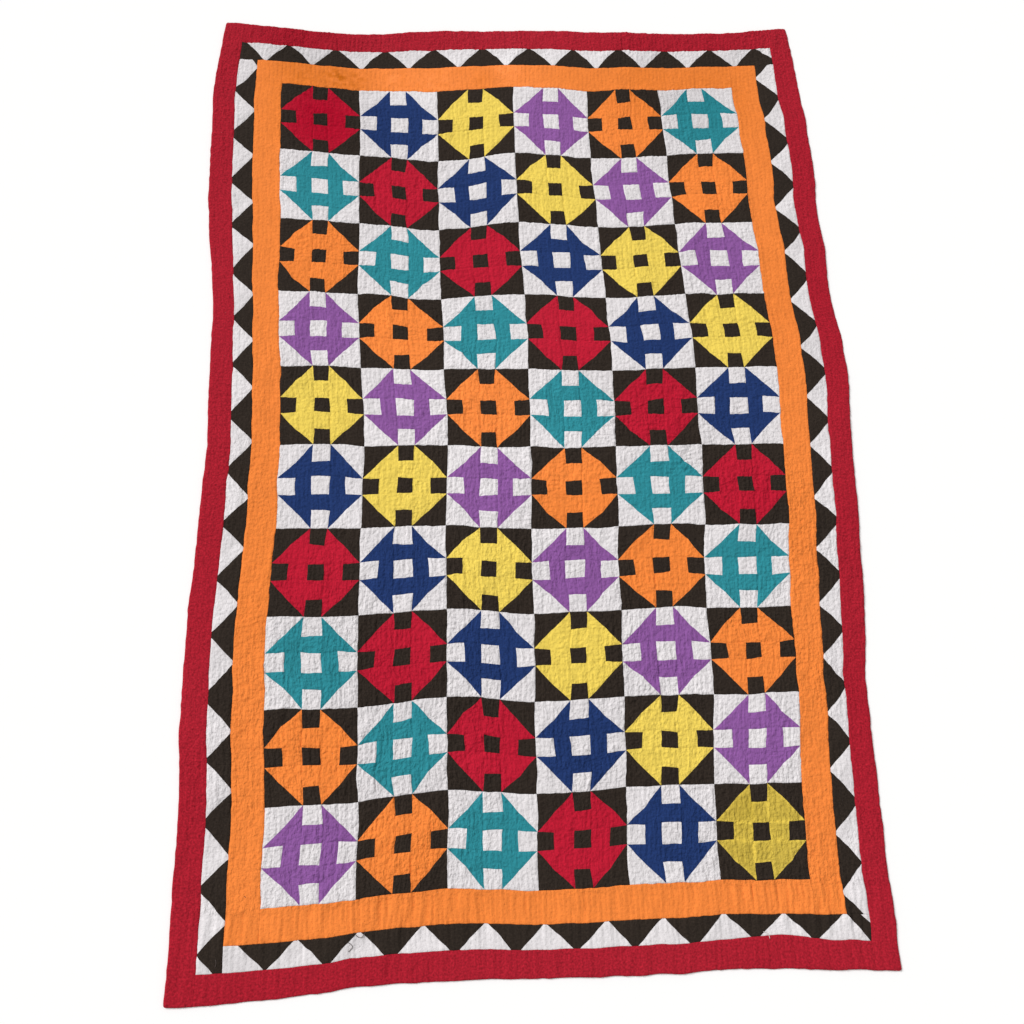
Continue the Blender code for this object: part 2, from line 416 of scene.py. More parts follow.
def lay(across, along, skew):
    """Where points of the plan lie on the floor, swayed and dipped, with wavy seams and outline."""
    across, along = pieced(across, along, skew)
    across, along = rounded_corners(across, along)
    middle = middle_of_outline()
    x = across - FIELD_WIDTH / 2 + out_of_true(SWAYS, SWAY_PLACES, along, across) - middle[0]
    y = FIELD_LENGTH / 2 - along - out_of_true(DIPS, DIP_PLACES, across, along) - middle[1]
    for wave in WAVES:
        x += wave.stray * noise(across / wave.straight, along / wave.turn, wave.seed)
        y += wave.stray * noise(across / wave.turn, along / wave.straight, wave.seed + 1)
    for pull in PULLS:
        sideways = (across / BLOCK - pull.across) / pull.width
        lengthways = (along / BLOCK - pull.along) / pull.length
        y -= pull.towards_foot / 1000 * np.exp(-(np.hypot(sideways, lengthways) ** 2))
    return x, y


def ridge_number(across):
    """How many ridges lie to the left of each place: whole numbers are rows of stitches."""
    sides = np.cumsum([-EDGE] + [strip.width for strip in STRIPS_ACROSS])
    counts = np.cumsum([0] + [strip.ridges for strip in STRIPS_ACROSS])
    return np.interp(across, sides, counts)


def wandering_rows(across, along):
    """The ridge numbers again, with rows that wander as a hand sews them."""
    wander = 0.42
    return ridge_number(across) + wander * noise(across / 0.055, along / 0.060, 1)


def outwards(across, along):
    """How far each point lies outside the field of blocks, below nought where it lies within."""
    return np.maximum(np.maximum(-across, across - FIELD_WIDTH), np.maximum(-along, along - FIELD_LENGTH))


def from_middle(distance, length):
    """How far places lie from the middle of their block, in blocks."""
    block = np.clip((distance / BLOCK).astype(int), 0, length - 1)
    return np.abs(distance / BLOCK - block - 0.5)


def from_patch_seams(across, along):
    """The distance from each point of the field to the nearest seam of its block."""
    a, b = from_middle(across, COLUMNS), from_middle(along, ROWS)
    nearer, further = np.minimum(a, b), np.maximum(a, b)
    seams = np.minimum(0.5 - further, np.minimum(np.abs(a - INNER_SEAM), np.abs(b - INNER_SEAM)))
    side = np.where(nearer < INNER_SEAM, np.abs(further - SIDE_SEAM), 1.0)
    diagonal = np.where(nearer > INNER_SEAM, np.abs(a + b - 0.5 - INNER_SEAM) / math.sqrt(2), 1.0)
    return np.minimum(seams, np.minimum(side, diagonal)) * BLOCK


def from_line(across, along, start, end):
    """The distance from each point to the straight line between two others."""
    way = np.subtract(end, start)
    length = np.hypot(*way)
    share = ((across - start[0]) * way[0] + (along - start[1]) * way[1]) / length**2
    share = np.clip(share, 0, 1)
    return np.hypot(across - start[0] - share * way[0], along - start[1] - share * way[1])


def evened(along):
    """How far the crumples give way to long ridges, as they do in the borders at the foot."""
    return np.clip((along - FIELD_LENGTH) / 0.012, 0, 1)


def relief_at(across, along):
    """How strongly the ridges and the ripples show at each point, stronger in some drifts than in others."""
    lines = [row.line * BLOCK for row in RELIEFS]
    lengthwise = np.interp(along, lines, [row.lengthwise for row in RELIEFS])
    crosswise = np.interp(along, lines, [row.crosswise for row in RELIEFS])
    orange = np.interp(along, lines, [row.orange for row in RELIEFS])
    red = np.interp(along, lines, [row.red for row in RELIEFS])
    out = outwards(across, along)
    share = orange + (red - orange) * np.clip((out - ORANGE_SEAM) / SAWTOOTH, 0, 1)
    on_border = 1 + (share - 1) * np.clip(out / 0.012, 0, 1)
    lengthwise = on_border * lengthwise * (1 + 0.5 * noise(across / 0.11, along / 0.15, 12))
    crosswise = on_border * crosswise * (1 + 0.6 * noise(across / 0.13, along / 0.09, 13))
    return lengthwise, crosswise * (1 - 0.8 * evened(along))


def eased(heights, lowest, highest):
    """The same heights, with those past the lowest and the highest eased back to them."""
    softness = 0.0003
    raised = softness * np.logaddexp(heights / softness, lowest / softness)
    return -softness * np.logaddexp(-raised / softness, -highest / softness)


def height_of_top(across, along, from_seam, sizes):
    """The height of the quilt's top at each point, where its distance from the nearest seam is known."""
    number = wandering_rows(across, along)
    beside = np.abs(np.sin(np.pi * number))
    lengthwise, crosswise = relief_at(across, along)
    even = evened(along)
    ripple_pitch = 0.0125
    allowance, allowance_width, groove_width = 0.005, 0.003, 0.0015

    # Ridges between the rows, puffed up unevenly, each pulled in where a stitch holds it down.
    uneven = np.clip(1 + (0.9 - 0.6 * even) * noise(across / 0.016, along / 0.024, 2), 0.1, 2.0)
    rise = (THICK_ON_RIDGE - THICK_AT_STITCHES) * lengthwise * uneven * beside**0.8
    pulled = 0.5 + 0.5 * np.cos(2 * np.pi * (along / sizes.stitch_pitch + np.round(number) * GOLDEN))
    dimple = sizes.dimple_depth * pulled * (1 - beside) ** 2

    # Ripples across the ridges, crinkles along them, puckers of every slant and broad swells over all.
    drift = 1.3 * noise(across / 0.018, along / 0.04, 3)
    ripple = np.sin(2 * np.pi * (along / ripple_pitch + drift))
    ripple = ripple * (1 + noise(across / 0.02, along / 0.02, 4))
    short = noise(number * 1.5, along / 0.016, 5) + noise(number * 1.1, along / 0.045, 15)
    long = 2.7 * noise(number * 1.35, along / 0.06, 16)
    crinkle = lengthwise * (short + even * (long - short))
    pucker = puckers(across, along, 0.009, 0.015, 0.3, 60) - 0.5
    pucker += puckers(across, along, 0.013, 0.009, -0.5, 70) - 0.5
    puckered = (0.2 + 0.7 * np.maximum(lengthwise, crosswise)) * (1 - 0.8 * even)
    swell = noise(across / 0.13, along / 0.16, 6) + 0.4 * noise(across / 0.045, along / 0.06, 7)
    top = THICK_AT_STITCHES + rise - dimple + sizes.swell_height * (0.4 + swell)
    top += sizes.ripple_height * crosswise * ripple + sizes.crinkle_height * crinkle
    top += sizes.pucker_height * puckered * pucker

    # The cloth draws in at a seam, beside the folded allowance under it.
    top += 0.35 * sizes.seam_depth * np.exp(-(((from_seam - allowance) / allowance_width) ** 2))
    top -= sizes.seam_depth * np.exp(-((from_seam / groove_width) ** 2))
    for crease in CREASES:
        start = (crease.across * BLOCK, crease.along * BLOCK)
        end = (crease.to_across * BLOCK, crease.to_along * BLOCK)
        top -= crease.depth * np.exp(-((from_line(across, along, start, end) / crease.width) ** 2))
    top = eased(top, THINNEST, THICKEST)

    # The folded edge rounds down to the floor.
    turned = np.clip((EDGE - outwards(across, along)) / HEM_RADIUS, 0, 1)
    return top * (SMALLEST_HEM + (1 - SMALLEST_HEM) * np.sqrt(1 - (1 - turned) ** 2))


def lines_between(start, end, cells):
    """Lines from start to end, close together at both ends, with narrower cells at the quilt's own edge."""
    inner = list(np.linspace(start + SEAM_CELL, end - SEAM_CELL, cells - 1))
    if start < -EDGE + CELL:
        inner = [start + cell for cell in HEM_CELLS] + [line for line in inner if line > start + 2 * CELL]
    if min(abs(end - FIELD_WIDTH - EDGE), abs(end - FIELD_LENGTH - EDGE)) < CELL:
        hem = [end - cell for cell in reversed(HEM_CELLS)]
        inner = [line for line in inner if line < end - 2 * CELL] + hem
    return [start, *inner, end]


def flat_cloth(lines_across, lines_along):
    """A flat mesh on the plan with a face in each cell between the lines."""
    mesh = bmesh.new()
    steps_across, steps_along = len(lines_across) - 1, len(lines_along) - 1
    bmesh.ops.create_grid(mesh, x_segments=steps_across, y_segments=steps_along, size=0.5)
    for vertex in mesh.verts:
        across = lines_across[round((vertex.co.x + 0.5) * steps_across)]
        along = lines_along[round((0.5 - vertex.co.y) * steps_along)]
        vertex.co = (across, along, 1.0)
    return mesh


def close_underneath(mesh):
    """Gives flat cloth its sides and its underside."""
    rim = [edge for edge in mesh.edges if edge.is_boundary]
    walls = bmesh.ops.extrude_edge_only(mesh, edges=rim)["geom"]
    for part in walls:
        if isinstance(part, bmesh.types.BMVert):
            part.co.z = 0.0
    under = [part for part in walls if isinstance(part, bmesh.types.BMEdge) and part.is_boundary]
    bmesh.ops.contextual_create(mesh, geom=under)


def columns_of(elements, name):
    """A property with three parts of every vertex or face, as three rows of values."""
    values = np.empty(len(elements) * 3)
    elements.foreach_get(name, values)
    return values.reshape(-1, 3).T


def dye_faces(data, materials, cloth, tone):
    """Gives each face its cloth, that cloth's dye and its patch's own tone."""
    for material in materials:
        data.materials.append(material)
    data.polygons.foreach_set("material_index", cloth)
    data.attributes.new("tone", "FLOAT", "FACE").data.foreach_set("value", tone)
    dyes = np.array([material.diffuse_color[:] for material in materials])
    data.attributes.new("dye", "FLOAT_COLOR", "FACE").data.foreach_set("color", dyes[cloth].ravel())


def mark_points(data, across, along, seam):
    """Stores what the cottons draw from: painted shade in the hollows along the rows of stitches and at the
    seams, worn, doubled at a seam, ridged and rippled.
    """
    # Painted shade: the cloth is darkened along the rows of stitches and beside the seams, where shade
    # falls.
    painted_hollow_shade = np.abs(np.sin(np.pi * wandering_rows(across, along)))
    painted_hollow_shade = (1 - painted_hollow_shade) ** 2 * (0.6 + 0.6 * noise(across / 0.012, along / 0.008, 8))
    painted_hollow_shade = np.maximum(painted_hollow_shade, 0.3 * np.exp(-((seam / 0.0012) ** 2)))
    worn = 0.3 * noise(across / 0.21, along / 0.19, 9)
    blotches = noise(across / 0.009, along / 0.007, 14)
    for spot in WORN_PLACES:
        away = np.hypot(across - spot.across * BLOCK, along - spot.along * BLOCK)
        worn += spot.amount * (1 + spot.mottling * blotches) * np.exp(-((away / spot.reach) ** 2))
    lengthwise, crosswise = relief_at(across, along)
    doubled = in_last_block(across, along) * np.exp(-((seam / 0.0032) ** 2))
    drawn = {"painted_hollow_shade": painted_hollow_shade, "worn": worn, "doubled": doubled, "rippled": crosswise,
             "ridged": lengthwise * (1 - 0.75 * evened(along))}
    for attribute, values in drawn.items():
        data.attributes.new(attribute, "FLOAT", "POINT").data.foreach_set("value", values)


def sewn_piece(name, mesh, materials, cloth_of_face, tone_of_face, from_seam, sizes):
    """Turns flat cloth into a finished piece: closes it underneath, dyes it, raises it and lays it."""
    close_underneath(mesh)
    data = bpy.data.meshes.new(name)
    mesh.to_mesh(data)
    mesh.free()
    across, along, on_top = columns_of(data.vertices, "co")
    corners = np.empty(len(data.loops), int)
    data.loops.foreach_get("vertex_index", corners)
    chart = data.uv_layers.new(name="cloth")
    chart.uv.foreach_set("vector", np.column_stack((across[corners], along[corners])).ravel())

    face_across, face_along, face_level = columns_of(data.polygons, "center")
    materials = [*materials, back_cotton()]
    underneath = len(materials) - 1
    cloth = np.where(face_level > 0.4, cloth_of_face(face_across, face_along), underneath).astype(np.int32)
    dye_faces(data, materials, cloth, tone_of_face(face_across, face_along, cloth))

    seam = from_seam(across, along)
    mark_points(data, across, along, seam)
    top = height_of_top(across, along, seam, sizes)
    x, y = lay(across, along, sizes.patch_skew)
    data.vertices.foreach_set("co", np.column_stack((x, y, top * on_top)).ravel())
    data.polygons.foreach_set("use_smooth", face_level > 0.9)
    data.update()
    piece = bpy.data.objects.new(name, data)
    bpy.context.scene.collection.objects.link(piece)
    face_outwards(piece)
    return piece


def face_outwards(piece):
    """Points the faces outwards. The laid plan is a mirror image of the flat one."""
    mesh = bmesh.new()
    mesh.from_mesh(piece.data)
    bmesh.ops.recalc_face_normals(mesh, faces=mesh.faces[:])
    mesh.to_mesh(piece.data)
    mesh.free()


def declare(piece, area, slot, *nodes):
    """Hands a laid sheet of cloth to the frame, in place of its solid."""
    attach(piece, "root")
    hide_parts(*nodes)


def add_node(tree, kind, inputs, **settings):
    """Adds a node with its settings, and sets or links each input that is named or numbered."""
    node = tree.nodes.new(kind)
    for name, value in settings.items():
        setattr(node, name, value)
    for name, value in inputs.items():
        if isinstance(value, bpy.types.NodeSocket):
            tree.links.new(value, node.inputs[name])
        else:
            node.inputs[name].default_value = value
    return node


def plain_cotton(name, colour, flecked=0.0):
    """Hand-dyed plain-weave cotton, washed soft: matt, a little fuzzy, slubbed and paler where worn, with
    painted shade in its hollows and in the crevices of its crumples.

    The weave is drawn with a thread every 1.2 mm, three times as coarse as the cloth's, so that it shows.
    """
    thread, slub_width, slub_length, mottle, fleck = 0.0012, 0.0016, 0.022, 0.045, 0.0040
    crumple, ripple, dash_width, dash_length = 0.0065, 0.0105, 0.0055, 0.016
    slub_shade, mottle_shade, crumple_painted_shade = 0.18, 0.16, 0.20
    material = bpy.data.materials.new(name)
    material.use_nodes = True
    material.diffuse_color = (*colour, 1.0)
    tree = material.node_tree
    shader = tree.nodes["Principled BSDF"]
    shader.inputs["Roughness"].default_value = 0.88
    shader.inputs["Specular IOR Level"].default_value = 0.1
    shader.inputs["Sheen Weight"].default_value = 0.03
    shader.inputs["Sheen Roughness"].default_value = 0.3
    plan = add_node(tree, "ShaderNodeUVMap", {}, uv_map="cloth").outputs["UV"]

    def spread(width, length):
        scale = (1 / width, 1 / length, 1.0)
        placed = add_node(tree, "ShaderNodeMapping", {"Vector": plan, "Scale": scale}).outputs["Vector"]
        cloudy = {"Vector": placed, "Scale": 1.0, "Detail": 2.0}
        return add_node(tree, "ShaderNodeTexNoise", cloudy).outputs["Fac"]

    def threads(direction):
        waves = {"Vector": plan, "Scale": math.pi / 10 / thread, "Distortion": 0.6, "Detail Scale": 2.0}
        return add_node(tree, "ShaderNodeTexWave", waves, bands_direction=direction).outputs["Fac"]

    def sums(factor, value, added):
        inputs = {0: value, 1: factor, 2: added}
        return add_node(tree, "ShaderNodeMath", inputs, operation="MULTIPLY_ADD").outputs["Value"]

    def attribute(named):
        return add_node(tree, "ShaderNodeAttribute", {}, attribute_name=named).outputs["Fac"]

    def total(value, *parts):
        for factor, part in parts:
            value = sums(factor, part, value)
        return value

    warp, weft = spread(slub_width, slub_length), spread(slub_length, slub_width)
    crumpled, ridged, worn = spread(crumple, crumple), attribute("ridged"), attribute("worn")
    unmarked = 1.02 - (2 * slub_shade + mottle_shade + crumple_painted_shade + flecked) / 2
    brightness = total(
        unmarked,
        (0.10, attribute("tone")),
        (slub_shade, warp),
        (slub_shade, weft),
        (mottle_shade, spread(mottle, mottle)),
        # Painted shade in the hollows along the rows of stitches and at the seams.
        (-0.16, attribute("painted_hollow_shade")),
        (flecked, spread(fleck, fleck)),
        # Painted light and shade: the crumples that the bump raises are painted lighter on top and darker in
        # their crevices.
        (crumple_painted_shade, crumpled),
        (0.09, worn),
        (0.36, attribute("doubled")),
    )
    dyed = {"Color": (*colour, 1.0), "Value": brightness, "Saturation": sums(-0.01, worn, 1.0)}
    dyed = add_node(tree, "ShaderNodeHueSaturation", dyed).outputs["Color"]
    tree.links.new(dyed, shader.inputs["Base Color"])

    # The relief, in millimetres: threads, crumples, slubs, dashes along the ridges and ripples across.
    waves = {"Vector": plan, "Scale": math.pi / 10 / ripple, "Distortion": 5.0, "Detail Scale": 1.2}
    waves = add_node(tree, "ShaderNodeTexWave", waves, bands_direction="Y").outputs["Fac"]
    height = total(
        0.0,
        (0.10, threads("Y")),
        (0.10, threads("X")),
        (1.2, crumpled),
        (0.30, warp),
        (2.2, sums(ridged, crumpled, 0.0)),
        (2.4, sums(ridged, spread(dash_width, dash_length), 0.0)),
        (0.3, sums(attribute("rippled"), waves, 0.0)),
    )
    relief = {"Height": height, "Strength": 1.0, "Distance": 0.001}
    tree.links.new(add_node(tree, "ShaderNodeBump", relief).outputs["Normal"], shader.inputs["Normal"])
    return material


def back_cotton():
    """The quilt's back cloth, which only shows from below."""
    name = "back plain-weave cotton"
    return bpy.data.materials.get(name) or plain_cotton(name, bpy.context.scene.quilt_colours.back)


def in_patch(across, along, patch):
    """Whether each point lies within a patch.

    A line from it to one side then crosses the patch's outline an odd number of times.
    """
    inside = np.zeros(np.shape(across), bool)
    for start, end in zip(patch, patch[1:] + patch[:1]):
        if start[1] != end[1]:
            level = (start[1] > along) != (end[1] > along)
            crossing = start[0] + (along - start[1]) * (end[0] - start[0]) / (end[1] - start[1])
            inside ^= level & (across < crossing)
    return inside


def strips_of(border):
    """The four strips of a border, as left, right, head and foot sides on the plan."""
    inner, outer = {
        "orange": (0.0, ORANGE_SEAM),
        "sawtooth": (ORANGE_SEAM, SAWTOOTH_SEAM),
        "red": (SAWTOOTH_SEAM, EDGE),
    }[border]
    width, length = FIELD_WIDTH, FIELD_LENGTH
    if border == "sawtooth":
        # The head strip takes both head corners, the left strip one foot corner, the foot strip the other.
        return {
            "left": (-outer, -inner, -inner, length + outer),
            "right": (width + inner, width + outer, -inner, length + inner),
            "head": (-outer, width + outer, -outer, -inner),
            "foot": (-inner, width + outer, length + inner, length + outer),
        }
    return {
        "left": (-outer, -inner, -outer, length + outer),
        "right": (width + inner, width + outer, -outer, length + outer),
        "head": (-inner, width + inner, -outer, -inner),
        "foot": (-inner, width + inner, length + inner, length + outer),
    }


def from_rings(across, along):
    """The distance from each point to the nearest seam round a border. Joins within one lie flat."""
    out = outwards(across, along)
    return np.min([np.abs(out - seam) for seam in (0.0, ORANGE_SEAM, SAWTOOTH_SEAM)], axis=0)


def tooth(side, place, lean, bulges):
    """The outline of a white tooth: its base on the red, a blunt tip on the orange and two bent sides."""
    base, tip, halfway = TOOTH_BASE / 2, TOOTH_TIP / 2, (ORANGE_SEAM + SAWTOOTH_SEAM) / 2
    waist = (base + tip) / 2
    outline = [(place - base, SAWTOOTH_SEAM), (place + lean / 2 - waist - bulges[0], halfway)]
    outline += [(place + lean - tip, ORANGE_SEAM), (place + lean + tip, ORANGE_SEAM)]
    outline += [(place + lean / 2 + waist + bulges[1], halfway), (place + base, SAWTOOTH_SEAM)]
    if side == "left":
        return [(-out, along) for along, out in outline]
    if side == "right":
        return [(FIELD_WIDTH + out, along) for along, out in outline]
    if side == "head":
        return [(across, -out) for across, out in outline]
    return [(across, FIELD_LENGTH + out) for across, out in outline]


def white_patches(side):
    """The white patches of one sawtooth strip: its teeth and the small ones in the corners."""
    row = TEETH[side]
    random = np.random.default_rng(31 + len(side))
    places = np.linspace(row.first, row.last, row.count) * BLOCK
    places[1:-1] += random.normal(0, 0.003, row.count - 2)
    for stray in STRAY_TEETH:
        if stray.side == side:
            places[stray.tooth] += stray.shift
    bulges = row.swell + random.normal(0, 0.0012, (row.count, 2))
    bulges[0] += row.first_swell - row.swell
    patches = [tooth(side, place, random.normal(0, 0.002), pair) for place, pair in zip(places, bulges)]
    left, right = -SAWTOOTH_SEAM, FIELD_WIDTH + SAWTOOTH_SEAM
    head, foot = -SAWTOOTH_SEAM, FIELD_LENGTH + SAWTOOTH_SEAM
    if side == "left":
        patches.append([(left, foot - 0.17 * BLOCK), (left, foot), (left + 0.16 * BLOCK, foot)])
    if side == "head":
        patches.append([(right - 0.21 * BLOCK, head), (right, head), (right, head + 0.15 * BLOCK)])
    if side == "foot":
        seam = FIELD_LENGTH + ORANGE_SEAM
        patches.append([(right - 0.10 * BLOCK, seam), (right, seam), (right, seam + 0.08 * BLOCK)])
        patches[0][:3] = [(-ORANGE_SEAM, foot), (-ORANGE_SEAM, (seam + foot) / 2), (-ORANGE_SEAM, seam)]
    return patches


def cut(mesh, start, end):
    """Cuts flat cloth along the straight line between two points."""
    low = np.minimum(start, end) - 2 * CELL
    high = np.maximum(start, end) + 2 * CELL
    near = []
    for face in mesh.faces:
        centre = face.calc_center_bounds()
        if low[0] < centre.x < high[0] and low[1] < centre.y < high[1]:
            near.append(face)
    edges = {edge for face in near for edge in face.edges}
    corners = {corner for face in near for corner in face.verts}
    way = Vector((end[0] - start[0], end[1] - start[1], 0.0)).normalized()
    bmesh.ops.bisect_plane(mesh, geom=[*near, *edges, *corners], dist=1e-5,
                           plane_co=(*start, 1.0), plane_no=(way.y, -way.x, 0.0))


class QUILT_OT_sew_blocks(bpy.types.Operator):
    """Pieces the blocks and sews them in rows"""

    bl_idname = "quilt.sew_blocks"
    bl_label = "Sew Blocks"

    def execute(self, context):
        colours, sizes = context.scene.quilt_colours, context.scene.quilt_sizes
        names = ("white", "black", *BLOCK_CLOTHS, "mustard")
        flecks = {"black": 1.2, "navy": 0.7, "crimson": 0.5}
        materials = []
        for name in names:
            flecked = flecks.get(name, 0.12)
            materials.append(plain_cotton(f"{name} plain-weave cotton", getattr(colours, name), flecked))
        tones = np.random.default_rng(41).normal(0, 0.15, (ROWS, COLUMNS, 18))
        lines_across = [0.0]
        for patch in range(COLUMNS * PATCHES_IN_BLOCK):
            lines_across += lines_between(patch * PATCH, (patch + 1) * PATCH, CELLS_IN_PATCH)[1:]
        for row in range(ROWS):
            self.sew_row(row, lines_across, materials, tones, sizes)
        return {"FINISHED"}

    def sew_row(self, row, lines_across, materials, tones, sizes):
        lines_along = [row * BLOCK]
        for patch in range(row * PATCHES_IN_BLOCK, (row + 1) * PATCHES_IN_BLOCK):
            lines_along += lines_between(patch * PATCH, (patch + 1) * PATCH, CELLS_IN_PATCH)[1:]
        mesh = flat_cloth(lines_across, lines_along)
        self.split_on_diagonals(mesh)

        def cloth_of_face(across, along):
            column = np.clip((across / BLOCK).astype(int), 0, COLUMNS - 1)
            coloured = 2 + (column - row) % len(BLOCK_CLOTHS)
            last_block = (row == ROWS - 1) & (column == COLUMNS - 1)
            coloured = np.where(last_block, 2 + len(BLOCK_CLOTHS), coloured)
            ground = np.where((row + column) % 2 == 0, 1, 0)
            return np.where(in_ground(across, along), ground, coloured)

        def tone_of_face(across, along, cloth):
            column = np.clip((across / BLOCK).astype(int), 0, COLUMNS - 1)
            seams = (CORNER, 1 - CORNER)
            unit = 3 * np.digitize(across / BLOCK - column, seams) + np.digitize(along / BLOCK - row, seams)
            return tones[row, column, 2 * unit + in_ground(across, along)]

        area = (0.0, FIELD_WIDTH, row * BLOCK, (row + 1) * BLOCK)
        piece = sewn_piece(f"block_row_{row + 1}", mesh, materials, cloth_of_face, tone_of_face,
                           from_patch_seams, sizes)
        declare(piece, area, "patchwork", "patchwork_field")

    def split_on_diagonals(self, mesh):
        """Splits the cells that a block's diagonal seams cross."""
        places = {}
        for vertex in mesh.verts:
            a = from_middle(np.array(vertex.co.x), COLUMNS)
            b = from_middle(np.array(vertex.co.y), ROWS)
            places[vertex] = abs(a + b - 0.5 - INNER_SEAM) < 1e-4 and min(a, b) > INNER_SEAM - 1e-4
        for face in mesh.faces[:]:
            on_seam = [corner for corner in face.verts if places[corner]]
            if len(on_seam) == 2 and not mesh.edges.get(on_seam):
                bmesh.utils.face_split(face, *on_seam)


def in_last_block(across, along):
    """Whether each point lies in the coloured cloth of the last block at the foot."""
    in_corner = (across > FIELD_WIDTH - BLOCK) & (along > FIELD_LENGTH - BLOCK)
    return in_corner & (outwards(across, along) < 0) & ~in_ground(across, along)


def in_ground(across, along):
    """Whether each point of the field lies in its block's black or white ground."""
    a, b = from_middle(across, COLUMNS), from_middle(along, ROWS)
    nearer, further = np.minimum(a, b), np.maximum(a, b)
    corner = (a + b > 0.5 + INNER_SEAM) & (nearer > INNER_SEAM)
    side = (nearer < INNER_SEAM) & (further > SIDE_SEAM)
    return corner | side | (further < INNER_SEAM)


def border_strip(border, side, area, materials, sizes, patches=()):
    """One strip of a border, cut along the edges of its white patches."""
    left, right, head, foot = area
    lines_across = lines_between(left, right, round((right - left) / CELL))
    lines_along = lines_between(head, foot, round((foot - head) / CELL))
    mesh = flat_cloth(lines_across, lines_along)
    seams = [pair for patch in patches for pair in zip(patch, patch[1:] + patch[:1])]
    seams = [pair for pair in seams if not along_a_side(area, *pair)]
    for start, end in seams:
        cut(mesh, start, end)

    def cloth_of_face(across, along):
        white = np.zeros(len(across), bool)
        for patch in patches:
            white |= in_patch(across, along, patch)
        return white

    def tone_of_face(across, along, cloth):
        if not patches:
            return np.zeros(len(across))
        tooth_number = np.floor((across + along) / (0.32 * BLOCK))
        return 0.6 * noise(tooth_number + 0.01, cloth + 0.01, 51)

    def from_seam(across, along):
        nearest = from_rings(across, along)
        for start, end in seams:
            nearest = np.minimum(nearest, from_line(across, along, start, end))
        return nearest

    name = f"{border}_strip_{side}"
    piece = sewn_piece(name, mesh, materials, cloth_of_face, tone_of_face, from_seam, sizes)
    declare(piece, area, f"{border}_cotton", f"{border}_{side}")


def along_a_side(area, start, end):
    """Whether the line between two points runs along a side of its strip."""
    left, right, head, foot = area
    sideways = any(abs(start[0] - side) < 1e-6 and abs(end[0] - side) < 1e-6 for side in (left, right))
    lengthways = any(abs(start[1] - side) < 1e-6 and abs(end[1] - side) < 1e-6 for side in (head, foot))
    return sideways or lengthways


class QUILT_OT_sew_orange_border(bpy.types.Operator):
    """Sews the four strips of the orange border"""

    bl_idname = "quilt.sew_orange_border"
    bl_label = "Sew Orange Border"

    def execute(self, context):
        sizes = context.scene.quilt_sizes
        cotton = plain_cotton("orange plain-weave cotton", context.scene.quilt_colours.orange_border)
        for side, area in strips_of("orange").items():
            border_strip("orange", side, area, [cotton], sizes)
        return {"FINISHED"}


class QUILT_OT_sew_sawtooth_border(bpy.types.Operator):
    """Sews the four strips of black and white teeth"""

    bl_idname = "quilt.sew_sawtooth_border"
    bl_label = "Sew Sawtooth Border"

    def execute(self, context):
        colours, sizes = context.scene.quilt_colours, context.scene.quilt_sizes
        materials = [bpy.data.materials.get(f"{name} plain-weave cotton") for name in ("black", "white")]
        if None in materials:
            materials = [plain_cotton("black plain-weave cotton", colours.black),
                         plain_cotton("white plain-weave cotton", colours.white)]
        for side, area in strips_of("sawtooth").items():
            border_strip("sawtooth", side, area, materials, sizes, white_patches(side))
        return {"FINISHED"}


class QUILT_OT_sew_red_border(bpy.types.Operator):
    """Sews the four strips of the red border, which is folded round the edge"""

    bl_idname = "quilt.sew_red_border"
    bl_label = "Sew Red Border"

    def execute(self, context):
        sizes = context.scene.quilt_sizes
        cotton = plain_cotton("red flecked cotton", context.scene.quilt_colours.red_border, flecked=1.4)
        for side, area in strips_of("red").items():
            border_strip("red", side, area, [cotton], sizes)
        return {"FINISHED"}


def quilting_thread():
    """Soft cotton thread that has taken the colour of the cloth it crosses: matt, and a little darker."""
    material = bpy.data.materials.new("soft cotton thread")
    material.use_nodes = True
    tree = material.node_tree
    shader = tree.nodes["Principled BSDF"]
    shader.inputs["Roughness"].default_value = 0.8
    shader.inputs["Specular IOR Level"].default_value = 0.25
    dye = add_node(tree, "ShaderNodeAttribute", {}, attribute_name="thread_dye").outputs["Color"]
    darker = add_node(tree, "ShaderNodeHueSaturation", {"Color": dye, "Value": 0.72}).outputs["Color"]
    tree.links.new(darker, shader.inputs["Base Color"])
    return material


